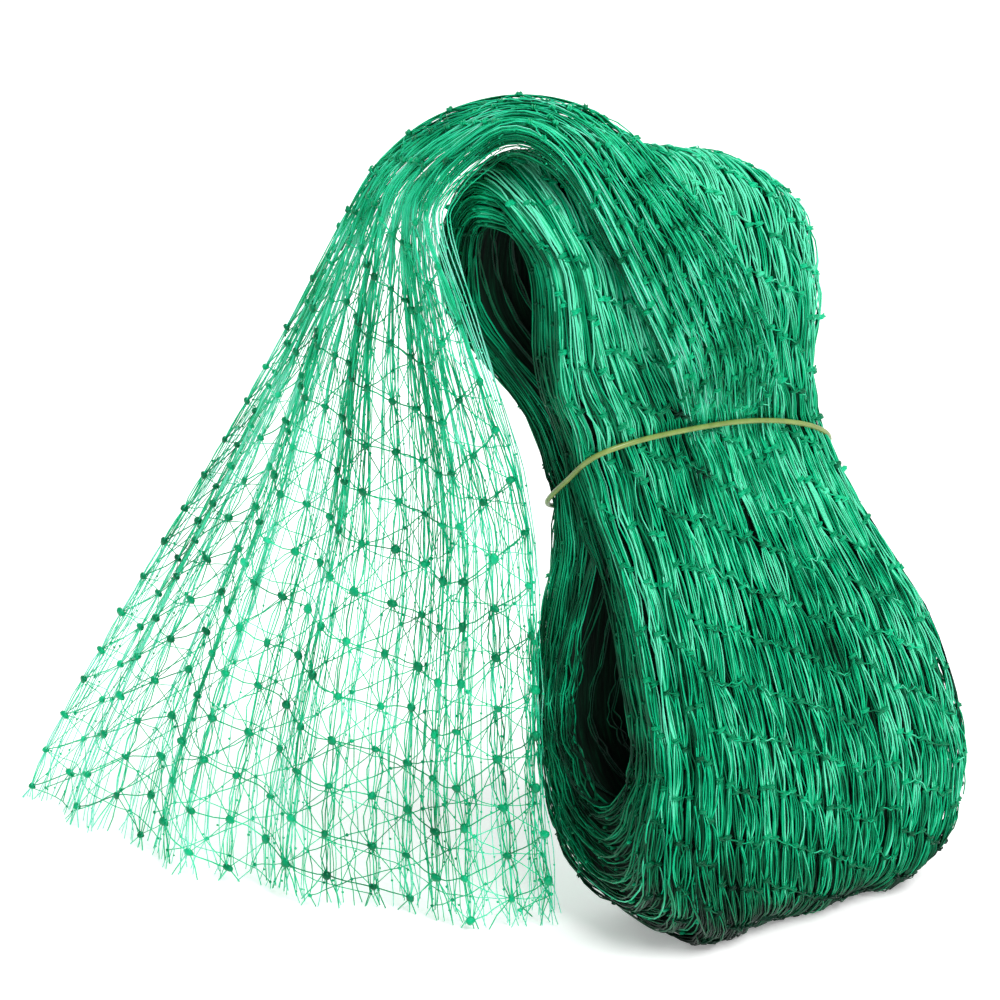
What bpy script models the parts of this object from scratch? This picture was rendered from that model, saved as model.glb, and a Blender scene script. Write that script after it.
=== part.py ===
"""Bird netting roll: a knotted green net gathered lengthwise into a ribbon, wound into a flattened loop,
held at its waist by a rubber band, with the last turn thrown over the top and fanned out to the floor.

Metres, +Z up. X runs along the fan and the roll, +Y is the far side, and the floor is z = 0.
The roll is laid out in its own directions: "along" its winding axis, "out" of its broad front, and up.
"""
import math

import bpy
from mathutils import Vector

# Middle of the whole footprint in the layout's coordinates; the object's origin goes there
CENTRE = Vector((-0.0125, 0.0065, 0.0))

# Where the roll stands, and the directions of its winding axis and of its broad front
FOOT_CENTRE = Vector((0.099, -0.002, 0.0))
AXIS_ANGLE = math.radians(35)
ALONG = Vector((math.cos(AXIS_ANGLE), math.sin(AXIS_ANGLE), 0.0))
OUT = Vector((math.sin(AXIS_ANGLE), -math.cos(AXIS_ANGLE), 0.0))
UP = Vector((0.0, 0.0, 1.0))

CURVE_STEPS = 16        # between two rows of a table, before a line is spaced out evenly
LOOP_STEPS = 56         # around the loop
FACE_STEPS = 11         # across the ribbon
EDGE_STEPS = 3          # through the wall, at each end of the roll

# The loop seen along its axis, one row for each section through its wall: how far its outside stands out in front
# and behind at each height, and where the inside of that section is. The wall is thick at the foot, where the turns
# sag apart, and the inside meets itself at the waist (a side below zero lies past the middle).
LOOP_COLUMNS = ("name", "height", "front", "back", "eye_height", "eye_front", "eye_back")
LOOP = [
    ("foot", -0.0040, 0.0000, 0.0000, 0.0560, 0.0000, 0.0000),
    ("sole", -0.0015, 0.0130, 0.0130, 0.0575, 0.0045, 0.0045),
    ("heel", 0.0055, 0.0235, 0.0235, 0.0615, 0.0085, 0.0085),
    ("turn", 0.0200, 0.0325, 0.0325, 0.0680, 0.0120, 0.0120),
    ("bulge", 0.0620, 0.0365, 0.0355, 0.0820, 0.0150, 0.0145),
    ("calf", 0.1150, 0.0310, 0.0275, 0.1130, 0.0105, 0.0070),
    ("back waist", 0.1600, 0.0220, 0.0192, 0.1560, 0.0021, -0.0010),
    ("front waist", 0.1860, 0.0192, 0.0220, 0.1850, -0.0010, 0.0021),
    ("chest", 0.2120, 0.0240, 0.0265, 0.2100, 0.0038, 0.0060),
    ("lobe", 0.2400, 0.0290, 0.0290, 0.2380, 0.0095, 0.0095),
    ("brow", 0.2750, 0.0210, 0.0210, 0.2610, 0.0065, 0.0065),
    ("crown", 0.2895, 0.0000, 0.0000, 0.2680, 0.0000, 0.0000),
]

# The roll's two ends at each height: how far along the axis they reach, and how far their turns ride up
END_COLUMNS = ("height", "near", "far", "near_lift", "far_lift")
ENDS = [
    (0.000, -0.061, 0.066, 0.001, 0.000),
    (0.025, -0.076, 0.073, 0.001, 0.000),
    (0.060, -0.083, 0.071, 0.000, 0.000),
    (0.110, -0.091, 0.054, 0.000, 0.000),
    (0.157, -0.090, 0.024, 0.000, 0.000),
    (0.195, -0.099, 0.003, 0.000, 0.000),
    (0.240, -0.128, -0.004, -0.003, -0.003),
    (0.290, -0.130, -0.004, -0.005, -0.018),
]

# The ribbon's section from its near edge (0) to its far edge (1): the part of the wall that the outer turns lack there
SECTION_COLUMNS = ("name", "across", "sunk")
SECTION = [
    ("near edge", 0.00, 0.34),
    ("inner turns", 0.05, 0.25),
    ("last turn's edge", 0.11, 0.03),
    ("broad front", 0.20, 0.00),
    ("pleat", 0.38, 0.03),
    ("broad front", 0.52, 0.00),
    ("pleat", 0.70, 0.03),
    ("broad front", 0.84, 0.00),
    ("shoulder", 0.95, 0.10),
    ("far edge", 1.00, 0.30),
]

# The loose end, one row for each section along it: its two edges, how far its middle bellies out,
# how thick the gathered net lies there, and how deep its folds are
LOOSE_COLUMNS = ("name", "near", "far", "belly", "thick", "fold")
LOOSE = [
    ("root", (0.0665, -0.0585, 0.1950), (0.0990, -0.0370, 0.1950), 0.000, 0.004, 0.0000),
    ("chest", (0.0542, -0.0725, 0.2190), (0.0916, -0.0475, 0.2184), 0.000, 0.005, 0.0002),
    ("lobe", (0.0440, -0.0835, 0.2400), (0.0815, -0.0565, 0.2430), 0.000, 0.006, 0.0004),
    ("brow", (0.0348, -0.0890, 0.2580), (0.0715, -0.0635, 0.2595), 0.001, 0.007, 0.0006),
    ("shoulder", (0.0223, -0.0920, 0.2807), (0.0444, -0.0710, 0.2877), 0.002, 0.008, 0.0008),
    ("rise", (0.0117, -0.0940, 0.2910), (0.0271, -0.0640, 0.2960), 0.002, 0.009, 0.0008),
    ("crest", (0.0018, -0.0940, 0.2930), (0.0064, -0.0550, 0.2985), 0.002, 0.009, 0.0008),
    ("fall", (-0.0077, -0.0920, 0.2866), (-0.0147, -0.0450, 0.2940), 0.002, 0.009, 0.0010),
    ("neck", (-0.0165, -0.0880, 0.2765), (-0.0306, -0.0330, 0.2830), 0.004, 0.009, 0.0014),
    ("spread", (-0.0195, -0.0840, 0.2640), (-0.0478, -0.0180, 0.2611), 0.006, 0.009, 0.0020),
    ("hip", (-0.0080, -0.0720, 0.2250), (-0.0789, 0.0180, 0.2053), 0.014, 0.008, 0.0036),
    ("skirt", (0.0085, -0.0550, 0.1590), (-0.1244, 0.0600, 0.1288), 0.021, 0.007, 0.0050),
    ("flare", (0.0100, -0.0380, 0.0610), (-0.1760, 0.0940, 0.0420), 0.026, 0.006, 0.0056),
    ("hem", (0.0135, -0.0250, 0.0000), (-0.1973, 0.1081, 0.0000), 0.027, 0.006, 0.0056),
]
LOOSE_LENGTH_STEPS = 30
LOOSE_WIDTH_STEPS = 26
LOOSE_REACH = 0.02          # how far along it, each way, its run is taken over

# The loose end's folds from its near edge to its far edge: ridges stand out, troughs in
FOLD_COLUMNS = ("across", "ridge")
FOLDS = [
    (0.00, -0.4), (0.09, 0.8), (0.21, -1.0), (0.34, 0.9), (0.45, -0.7),
    (0.57, 1.0), (0.70, -0.8), (0.82, 0.7), (0.92, -0.6), (1.00, 0.5),
]

# The rubber band: a round ring about the waist, higher in front than behind
BAND_RADIUS = 0.0010
BAND_CLEARANCE = 0.0027     # from the roll's skin to the middle of the rubber
BAND_HEIGHT = 0.1755
BAND_TILT = 0.0155          # up in front, down behind
BAND_DROOP = 0.0030         # down at the far end
BAND_SQUARENESS = 5.0       # the power of its rounded rectangle
BAND_STEPS = 48
BAND_SIDES = 6


def named(columns, rows):
    """The rows of a table as dictionaries."""
    return [dict(zip(columns, row)) for row in rows]


def read(rows, key, column, at):
    """One column of a table, read at a value of its key column along a smooth curve through the rows."""
    keys, values = [row[key] for row in rows], [row[column] for row in rows]
    last = len(keys) - 1
    at = min(max(at, keys[0]), keys[last])
    k = 0
    while k < last - 1 and at > keys[k + 1]:
        k += 1

    def slope(i):
        before, after = max(i - 1, 0), min(i + 1, last)
        return (values[after] - values[before]) / (keys[after] - keys[before])

    span = keys[k + 1] - keys[k]
    rise = values[k + 1] - values[k]
    t = (at - keys[k]) / span
    leaving = slope(k) * span - rise
    arriving = rise - slope(k + 1) * span
    return values[k] + rise * t + t * (1 - t) * (leaving * (1 - t) + arriving * t)


def along_curve(p0, p1, p2, p3, t):
    """A point between p1 and p2 on the smooth curve through four points (Catmull-Rom)."""
    return 0.5 * (2 * p1 + (p2 - p0) * t + (2 * p0 - 5 * p1 + 4 * p2 - p3) * t ** 2
                  + (3 * p1 - p0 - 3 * p2 + p3) * t ** 3)


def evenly(points, steps, length_of=None):
    """A number of equal steps along a closed line of points, or along what length_of takes from each point."""
    where = [length_of(point) for point in points] if length_of else points
    count = len(points)
    lengths = [0.0]
    for i in range(count):
        lengths.append(lengths[-1] + (where[(i + 1) % count] - where[i]).length)
    result, i = [], 0
    for k in range(steps):
        goal = lengths[-1] * k / steps
        while lengths[i + 1] < goal:
            i += 1
        t = (goal - lengths[i]) / (lengths[i + 1] - lengths[i])
        result.append(points[i].lerp(points[(i + 1) % count], t))
    return result


def mesh_object(name, vertices, faces, finish):
    mesh = bpy.data.meshes.new(name)
    mesh.from_pydata([tuple(v - CENTRE) for v in vertices], [], faces)
    mesh.materials.append(finish)
    mesh.shade_smooth()
    made = bpy.data.objects.new(name, mesh)
    bpy.context.scene.collection.objects.link(made)
    return made


def ring_faces(rings, per_ring):
    """Quads between closed rings of points, the last ring joined to the first."""
    faces = []
    for k in range(rings):
        for j in range(per_ring):
            here, there = k * per_ring, (k + 1) % rings * per_ring
            ahead = (j + 1) % per_ring
            faces.append((here + j, here + ahead, there + ahead, there + j))
    return faces


def material(name, colour, roughness):
    made = bpy.data.materials.new(name)
    made.use_nodes = True
    shader = made.node_tree.nodes["Principled BSDF"]
    shader.inputs["Base Color"].default_value = (*colour, 1.0)
    shader.inputs["Roughness"].default_value = roughness
    made.diffuse_color = (*colour, 1.0)
    return made


# ---- The roll

def loop_sections():
    """Sections through the loop's wall, up the front and down the back, evenly spaced along its outside.

    Each is a vector of four: the outside's place (out, up) and the inside's."""
    rows = named(LOOP_COLUMNS, LOOP)
    knots = [Vector((row["front"], row["height"], row["eye_front"], row["eye_height"])) for row in rows]
    knots += [Vector((-row["back"], row["height"], -row["eye_back"], row["eye_height"]))
              for row in reversed(rows[1:-1])]
    count = len(knots)
    fine = []
    for i in range(count):
        four = [knots[(i + k) % count] for k in (-1, 0, 1, 2)]
        fine += [along_curve(*four, j / CURVE_STEPS) for j in range(CURVE_STEPS)]
    return evenly(fine, LOOP_STEPS, lambda section: section.to_2d())


def roll_point(section, across, depth):
    """A point of the roll, across the ribbon from near (0) to far (1), deep in the wall from outside (0) to in (1)."""
    outside, inside = Vector(section[:2]), Vector(section[2:])
    out, up = outside.lerp(inside, depth)
    ends = named(END_COLUMNS, ENDS)
    near, far, near_lift, far_lift = (read(ends, "height", column, up) for column in END_COLUMNS[1:])
    along = near + (far - near) * across
    height = up + near_lift * (1 - across) ** 2 + far_lift * across ** 3
    return FOOT_CENTRE + ALONG * along + OUT * out + UP * max(height, 0.0)   # the floor flattens its foot


def section_line():
    """The ribbon's section as (across, depth) pairs: outer face, far end, inner face, near end."""
    rows = named(SECTION_COLUMNS, SECTION)
    places = [i / FACE_STEPS for i in range(FACE_STEPS + 1)]
    outer = [(across, read(rows, "across", "sunk", across)) for across in places]

    def edge(sunk):
        return [sunk + (1 - sunk) * i / EDGE_STEPS for i in range(1, EDGE_STEPS)]

    far = [(1.0, depth) for depth in edge(outer[-1][1])]
    inner = [(across, 1.0) for across in reversed(places)]
    near = [(0.0, depth) for depth in reversed(edge(outer[0][1]))]
    return outer + far + inner + near


def make_roll(finish):
    line = section_line()
    vertices = [roll_point(section, *place) for section in loop_sections() for place in line]
    return mesh_object("roll", vertices, ring_faces(LOOP_STEPS, len(line)), finish)


# ---- The loose end

def loose_rows():
    """The loose end's table with its edges as vectors."""
    rows = named(LOOSE_COLUMNS, LOOSE)
    for row in rows:
        row["near"], row["far"] = Vector(row["near"]), Vector(row["far"])
    return rows


def loose_reading(rows, column, place):
    """One column of the loose end's table at a place from 0 (root) to 1 (hem), on a smooth curve."""
    last = len(rows) - 1
    k = min(int(place * last), last - 1)
    four = [rows[min(max(k + step, 0), last)][column] for step in (-1, 0, 1, 2)]
    return along_curve(*four, place * last - k)


def loose_middle(rows, place, across):
    """A point of the net's middle surface, without its folds."""
    near, far = (loose_reading(rows, side, place) for side in ("near", "far"))
    ahead, behind = min(place + LOOSE_REACH, 1.0), max(place - LOOSE_REACH, 0.0)
    run = sum((loose_reading(rows, side, ahead) - loose_reading(rows, side, behind)
               for side in ("near", "far")), Vector())
    face = (far - near).cross(run).normalized()
    belly = loose_reading(rows, "belly", place) * 4 * across * (1 - across)
    return near.lerp(far, across) + face * belly, face


def loose_point(rows, place, across, side):
    """A point of the loose end's skin; side is 1 on its outer face and -1 on its inner one."""
    middle, face = loose_middle(rows, place, across)
    ridge = read(named(FOLD_COLUMNS, FOLDS), "across", "ridge", across)
    fold = loose_reading(rows, "fold", place) * ridge
    half = loose_reading(rows, "thick", place) / 2
    point = middle + face * (fold + side * half)
    if place == 1.0:
        point.z = 0.0
    return point


def make_loose_end(finish):
    rows = loose_rows()
    width = LOOSE_WIDTH_STEPS
    vertices = []
    for i in range(LOOSE_LENGTH_STEPS + 1):
        place = i / LOOSE_LENGTH_STEPS
        vertices += [loose_point(rows, place, j / width, 1) for j in range(width + 1)]
        vertices += [loose_point(rows, place, j / width, -1) for j in reversed(range(width + 1))]
    per_ring = 2 * (width + 1)
    faces = ring_faces(LOOSE_LENGTH_STEPS + 1, per_ring)[:LOOSE_LENGTH_STEPS * per_ring]
    first = LOOSE_LENGTH_STEPS * per_ring
    for j in range(width):
        back = per_ring - 1 - j
        faces.append((j, back, back - 1, j + 1))
        faces.append((first + j, first + j + 1, first + back - 1, first + back))
    return mesh_object("loose_end", vertices, faces, finish)


# ---- The rubber band

def band_point(angle):
    """The middle of the rubber at an angle around the waist, from the far end (0) over the front."""
    loop, ends = named(LOOP_COLUMNS, LOOP), named(END_COLUMNS, ENDS)
    power = 2 / BAND_SQUARENESS
    cos, sin = math.cos(angle), math.sin(angle)
    lengthwise = math.copysign(abs(cos) ** power, cos)
    outward = math.copysign(abs(sin) ** power, sin)
    height = BAND_HEIGHT + BAND_TILT * outward - BAND_DROOP * max(lengthwise, 0.0)
    near, far = (read(ends, "height", side, height) for side in ("near", "far"))
    deep = read(loop, "height", "front" if outward > 0 else "back", height)
    along = (near + far) / 2 + ((far - near) / 2 + BAND_CLEARANCE) * lengthwise
    return FOOT_CENTRE + ALONG * along + OUT * (deep + BAND_CLEARANCE) * outward + UP * height


def make_band(finish):
    fine = BAND_STEPS * CURVE_STEPS
    line = evenly([band_point(math.tau * i / fine) for i in range(fine)], BAND_STEPS)
    vertices = []
    for k, middle in enumerate(line):
        run = (line[(k + 1) % BAND_STEPS] - line[k - 1]).normalized()
        side = UP.cross(run).normalized()
        top = run.cross(side)
        for j in range(BAND_SIDES):
            turn = math.tau * j / BAND_SIDES
            vertices.append(middle + (side * math.cos(turn) + top * math.sin(turn)) * BAND_RADIUS)
    return mesh_object("band", vertices, ring_faces(BAND_STEPS, BAND_SIDES), finish)


def main():
    for old in list(bpy.data.objects):
        bpy.data.objects.remove(old)
    net = material("net", (0.010, 0.300, 0.160), 0.45)
    rubber = material("rubber", (0.360, 0.440, 0.140), 0.50)
    make_roll(net)
    make_loose_end(net)
    make_band(rubber)


main()
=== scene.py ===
"""Looks of the bird netting roll: every strand, knot and cross thread that shows, and the rubber band.

Metres, +Z up, the floor at z = 0. The roll's own directions are "along" its winding axis, "out" of its
broad front, and up. A place on the roll is how far round its loop it is ("turn", from the foot up the
front), how far "across" from the near end to the far one, and how "deep" in the wall. A place on the loose
end is its distance up from the hem, how far across it is, and on which "side" of the gathered thickness. A
strand is a thin three-sided tube, and a knot is a small lump of thread. Many of them make one mesh.
"""
import math

import bmesh
import bpy
import numpy as np
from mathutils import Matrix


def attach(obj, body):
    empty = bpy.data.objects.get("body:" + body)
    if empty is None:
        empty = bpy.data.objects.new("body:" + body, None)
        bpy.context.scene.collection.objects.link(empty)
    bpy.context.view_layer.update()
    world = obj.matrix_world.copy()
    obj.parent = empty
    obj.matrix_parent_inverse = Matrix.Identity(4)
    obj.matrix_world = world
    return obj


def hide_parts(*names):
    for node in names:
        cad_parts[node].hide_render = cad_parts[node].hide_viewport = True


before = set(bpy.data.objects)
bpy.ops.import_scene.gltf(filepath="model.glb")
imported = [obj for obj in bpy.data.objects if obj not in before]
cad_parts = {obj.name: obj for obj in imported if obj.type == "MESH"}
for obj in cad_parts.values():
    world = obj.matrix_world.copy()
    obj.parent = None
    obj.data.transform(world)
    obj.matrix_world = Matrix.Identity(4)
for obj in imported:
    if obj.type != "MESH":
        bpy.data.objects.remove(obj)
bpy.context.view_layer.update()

CHANCE = np.random.RandomState(20)

# ---- The layout. The loop, its ends and section, and the loose end with its folds are as in the CAD model

CENTRE = np.array((-0.0125, 0.0065, 0.0))
FOOT_CENTRE = np.array((0.099, -0.002, 0.0))
AXIS_ANGLE = math.radians(35)
ALONG = np.array((math.cos(AXIS_ANGLE), math.sin(AXIS_ANGLE), 0.0))
OUT = np.array((math.sin(AXIS_ANGLE), -math.cos(AXIS_ANGLE), 0.0))
UP = np.array((0.0, 0.0, 1.0))
CURVE_STEPS = 16

# The loop seen along its axis: where the outside and the inside of its wall are, in front and behind
LOOP_COLUMNS = ("name", "height", "front", "back", "eye_height", "eye_front", "eye_back")
LOOP = [
    ("foot", -0.0040, 0.0000, 0.0000, 0.0560, 0.0000, 0.0000),
    ("sole", -0.0015, 0.0130, 0.0130, 0.0575, 0.0045, 0.0045),
    ("heel", 0.0055, 0.0235, 0.0235, 0.0615, 0.0085, 0.0085),
    ("turn", 0.0200, 0.0325, 0.0325, 0.0680, 0.0120, 0.0120),
    ("bulge", 0.0620, 0.0365, 0.0355, 0.0820, 0.0150, 0.0145),
    ("calf", 0.1150, 0.0310, 0.0275, 0.1130, 0.0105, 0.0070),
    ("back waist", 0.1600, 0.0220, 0.0192, 0.1560, 0.0021, -0.0010),
    ("front waist", 0.1860, 0.0192, 0.0220, 0.1850, -0.0010, 0.0021),
    ("chest", 0.2120, 0.0240, 0.0265, 0.2100, 0.0038, 0.0060),
    ("lobe", 0.2400, 0.0290, 0.0290, 0.2380, 0.0095, 0.0095),
    ("brow", 0.2750, 0.0210, 0.0210, 0.2610, 0.0065, 0.0065),
    ("crown", 0.2895, 0.0000, 0.0000, 0.2680, 0.0000, 0.0000),
]

# The roll's two ends at each height: how far along the axis they reach, and how far their turns ride up
END_COLUMNS = ("height", "near", "far", "near_lift", "far_lift")
ENDS = [
    (0.000, -0.061, 0.066, 0.001, 0.000),
    (0.025, -0.076, 0.073, 0.001, 0.000),
    (0.060, -0.083, 0.071, 0.000, 0.000),
    (0.110, -0.091, 0.054, 0.000, 0.000),
    (0.157, -0.090, 0.024, 0.000, 0.000),
    (0.195, -0.099, 0.003, 0.000, 0.000),
    (0.240, -0.128, -0.004, -0.003, -0.003),
    (0.290, -0.130, -0.004, -0.005, -0.018),
]

# The ribbon's section, from its near edge (0) to its far edge (1): how deep in the wall it begins
SECTION_COLUMNS = ("name", "across", "sunk")
SECTION = [
    ("near edge", 0.00, 0.34),
    ("inner turns", 0.05, 0.25),
    ("last turn's edge", 0.11, 0.03),
    ("broad front", 0.20, 0.00),
    ("pleat", 0.38, 0.03),
    ("broad front", 0.52, 0.00),
    ("pleat", 0.70, 0.03),
    ("broad front", 0.84, 0.00),
    ("shoulder", 0.95, 0.10),
    ("far edge", 1.00, 0.30),
]

# The loose end: its two edges, its middle's belly, how thick the gathered net lies and how deep its folds are
LOOSE_COLUMNS = ("name", "near", "far", "belly", "thick", "fold")
LOOSE = [
    ("chest", (0.0542, -0.0725, 0.2190), (0.0916, -0.0475, 0.2184), 0.000, 0.005, 0.0002),
    ("lobe", (0.0440, -0.0835, 0.2400), (0.0815, -0.0565, 0.2430), 0.000, 0.006, 0.0004),
    ("brow", (0.0348, -0.0890, 0.2580), (0.0715, -0.0635, 0.2595), 0.001, 0.007, 0.0006),
    ("shoulder", (0.0223, -0.0920, 0.2807), (0.0444, -0.0710, 0.2877), 0.002, 0.008, 0.0008),
    ("rise", (0.0117, -0.0940, 0.2910), (0.0271, -0.0640, 0.2960), 0.002, 0.009, 0.0008),
    ("crest", (0.0018, -0.0940, 0.2930), (0.0064, -0.0550, 0.2985), 0.002, 0.009, 0.0008),
    ("fall", (-0.0077, -0.0920, 0.2866), (-0.0147, -0.0450, 0.2940), 0.002, 0.009, 0.0010),
    ("neck", (-0.0165, -0.0880, 0.2765), (-0.0306, -0.0330, 0.2830), 0.004, 0.009, 0.0014),
    ("spread", (-0.0195, -0.0840, 0.2640), (-0.0478, -0.0180, 0.2611), 0.006, 0.009, 0.0020),
    ("hip", (-0.0080, -0.0720, 0.2250), (-0.0789, 0.0180, 0.2053), 0.014, 0.008, 0.0036),
    ("skirt", (0.0085, -0.0550, 0.1590), (-0.1244, 0.0600, 0.1288), 0.021, 0.007, 0.0050),
    ("flare", (0.0100, -0.0380, 0.0610), (-0.1760, 0.0940, 0.0420), 0.026, 0.006, 0.0056),
    ("hem", (0.0135, -0.0250, 0.0000), (-0.1973, 0.1081, 0.0000), 0.027, 0.006, 0.0056),
]

# The rows above those, where the loose end goes under the band, down the roll's front and in between its
# strands: at each height, how far along the axis its two edges lie, and how proud of the roll
TAIL_COLUMNS = ("height", "near", "far", "proud")
TAIL = [
    (0.1300, -0.0460, -0.0060, -0.0050),
    (0.1600, -0.0500, -0.0110, -0.0032),
    (0.1800, -0.0545, -0.0160, -0.0016),
    (0.1930, -0.0582, -0.0198, -0.0004),
    (0.2030, -0.0648, -0.0242, 0.0012),
]
TAIL_THICK = 0.0010

# The loose end's folds from its near edge to its far edge: ridges stand out, troughs in
FOLD_COLUMNS = ("across", "ridge")
FOLDS = [
    (0.00, -0.4), (0.09, 0.8), (0.21, -1.0), (0.34, 0.9), (0.45, -0.7),
    (0.57, 1.0), (0.70, -0.8), (0.82, 0.7), (0.92, -0.6), (1.00, 0.5),
]

# The rubber band: a thin ring about the waist, higher in front than behind
BAND_RADIUS = 0.0009
BAND_CLEARANCE = 0.0027         # from the wound form to the rubber's middle
BAND_NEAR_CLEARANCE = 0.0016    # the same at the near end
BAND_HEIGHT = 0.1755
BAND_TILT = 0.0155              # how much higher the front is, and how much lower the back
BAND_DROOP = 0.0065             # how much lower the far end is
BAND_ARCH = 0.0025              # how much higher the middle of the front is
BAND_SQUARENESS = 5.0           # of its plan, which is between an ellipse and a rectangle
BAND_STEPS = 240
BAND_SIDES = 14
BAND_SWELL, BAND_SWELL_AT = 0.0014, 0.009       # how much the netting swells this far from it, up and down
WAIST_DEPTH = 0.02              # from the roll's middle to its front at the band

# ---- The netting

MESH_SIZE = 0.020           # between two knots along the strands
FLOOR_REST = 0.0003         # the lowest that a strand's middle lies
ROLL_WIDTH = 0.15           # about how far the roll reaches along its axis

# How far across, by height, the front wall's turns stop short of the roll's near end
RECESS_COLUMNS = ("height", "share")
RECESS = [
    (0.045, 0.000), (0.062, 0.025), (0.078, 0.062), (0.100, 0.078), (0.125, 0.074),
    (0.148, 0.045), (0.172, 0.000), (0.205, 0.000), (0.222, 0.050), (0.240, 0.110),
    (0.256, 0.120), (0.270, 0.060), (0.284, 0.000),
]
RECESS_OUT = 0.004          # how far out in front of the roll's middle that is full

LOBE_LEAN = 0.10            # how far across the strands lean over the upper lobe
LOBE_FROM, LOBE_TO = 0.190, 0.275

# Layers of strands over the roll, from the outside in. A column is a bundle of strands that passes through
# one knot in each row. "steps" are the points from row to row, and "below" is how far under the surface the
# layer lies. The strands of a bundle are as far apart as "pinch" at its knots and as "spread" between them,
# where they rise by up to "arch".
# The tones darken from the top layer inward: painted shade among the strands.
ROLL_LAYER_COLUMNS = (
    "name", "columns", "strands", "steps", "radius", "below", "pinch", "spread", "arch", "tone"
)
ROLL_LAYERS = [
    ("top", 36, 5, 4, 0.00031, 0.0000, 0.00042, 0.00090, 0.0012, 0.76),
    ("second", 33, 4, 3, 0.00034, 0.0009, 0.00055, 0.00105, 0.0005, 0.50),
    ("third", 31, 4, 3, 0.00035, 0.0018, 0.00080, 0.00115, 0.0003, 0.26),
]
STRAND_MIXING = 0.75            # how readily the strands of a bundle change places from knot to knot
STRAND_STRAY = 0.00075          # how far a strand strays to the side between two knots
ARCH_MARGIN = 0.09              # how far across from an end the strands rise as much as elsewhere
ROW_SCATTER = 0.0009            # how far the knots lie from their rows
COLUMN_SCATTER = 0.0008         # and from their columns
DEPTH_SCATTER = 0.00012
COLUMN_WAVES, COLUMN_WAVE = 5, 0.0010           # how often and how far the columns swing to the side
PLEAT_COLUMNS = (3, 7)          # the fewest columns in a pleat, and one more than the most
PLEAT_SWELL, PLEAT_SINK = 0.0007, 0.0003        # how far its middle stands out from its edges, which sink
CHAIN_SLOPES = (0.15, 0.60)     # how far a pleat's chain of knots drops as it goes across
BUNDLE_TONE_SCATTER, STRAND_TONE_SCATTER = 0.07, 0.18
KNOT_AHEAD = 0.003              # how far round from a knot its strands' run is taken
KNOT_UNEVENNESS, KNOT_RIPPLES = 0.25, 3.1

# Painted shade and painted light in the netting's tone over the roll. Each pair of values is where that sets
# in and
# where it is full: heights, places across, how far off the loose end's edge is, or how squarely the netting
# faces the front.
FLOOR_SHADE = 0.50              # painted shade: deeper low down, and where the netting faces the floor
FLOOR_SHADE_HEIGHTS = (0.055, 0.0)
NEAR_SHADE = 0.24               # painted shade: deeper low in front at the near end
NEAR_SHADE_HEIGHTS, NEAR_SHADE_PLACES = (0.150, 0.100), (0.32, 0.16)
LOOSE_SHADE = 0.34              # painted shadow of the loose end: deeper along its near edge
LOOSE_SHADE_GAPS = (0.006, 0.0)
LOBE_SHEEN = 0.20               # painted light: lighter over both sides of the upper lobe
LOBE_SHEEN_HEIGHTS, LOBE_SHEEN_FACING = (0.195, 0.225), (-0.3, 0.7)
LOBE_SHEEN_NEAR, LOBE_SHEEN_FAR = (0.30, 0.0), (0.35, 0.75)

# At the near end the outer turns stop one after the other: from how far across, and how deep in the wall
SHEETS = [(0.000, 0.31), (0.048, 0.15), (0.104, 0.03)]

# The turns whose edges show at the roll's ends: how deep in the wall each lies, and from how far across
END_TURN_COLUMNS = ("deep", "edge")
END_TURNS = [
    (0.38, 0.000), (0.46, 0.010), (0.53, 0.002), (0.60, 0.014), (0.67, 0.000),
    (0.74, 0.012), (0.81, 0.004), (0.88, 0.016), (0.94, 0.006), (0.99, 0.012),
]
END_TURN_LAYER = ("end turn", 2, 4, 3, 0.00034, 0.0000, 0.00085, 0.00115, 0.0003, 0.64)
STEP_TURNS = [(0.24, 0.050), (0.10, 0.106)]     # more of them, where the outer turns stop at the near end
END_TURN_REACH = 0.055          # how far across from its edge each one's strands show
END_TURN_SHADE = 0.30           # painted shade: how much deeper in tone the innermost one is
END_TURN_SHADING = 0.30         # how much of the roll's painted shade and painted light they take
END_TURN_SCATTER = 0.018        # how far from its turn a strand lies, as a share of the wall
# The lining's dark tone is painted shade inside the loop.
LINING_LAYER = ("lining", 15, 3, 3, 0.00032, 0.0003, 0.00090, 0.00130, -0.0002, 0.26)
LINING_SLANT = 0.06

# Layers of the loose end, from its outer face in. "side" is a layer's place in the gathered thickness, from 1
# outside to -1 inside. "drift" is how far across its strands slant from root to hem, and "slant" how far up
# its rows climb from the near edge to the far one. "wander" is how far its strands stray to the side, and
# "knot" is the size of its knots.
LOOSE_LAYER_COLUMNS = (
    "name", "columns", "strands", "radius", "side", "drift", "slant", "wander", "knot", "tone"
)
# Their tones grow lighter inward: painted light on strands that lie in the outer layers' shade.
LOOSE_LAYERS = [
    ("front", 17, 3, 0.00029, 0.95, 0.000, 0.000, 0.0030, 0.00175, 0.74),
    ("second", 17, 2, 0.00025, 0.60, -0.060, -0.150, 0.0030, 0.00090, 0.86),
    ("third", 16, 2, 0.00022, 0.35, 0.035, 0.080, 0.0020, 0.00065, 0.94),
    ("fourth", 17, 1, 0.00022, 0.10, -0.030, -0.060, 0.0020, 0.00060, 1.00),
    ("fifth", 16, 1, 0.00022, -0.15, 0.050, 0.110, 0.0020, 0.00055, 1.00),
    ("sixth", 17, 1, 0.00022, -0.40, -0.045, -0.100, 0.0020, 0.00055, 1.00),
    ("seventh", 16, 1, 0.00022, -0.65, 0.020, 0.040, 0.0020, 0.00055, 1.00),
    ("back", 17, 1, 0.00022, -0.95, -0.015, -0.030, 0.0020, 0.00055, 1.00),
]
NEAR_EDGE_SHADE = 0.30      # how much deeper in tone the open net is at its near edge than at its far one
GATHERED_EDGE_SHEEN = 0.12  # painted highlight: how much lighter the gathered net is along its near edge
GATHERED_TONE = 0.24        # painted shade: the darker tone of the inner layers where the net is gathered
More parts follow.
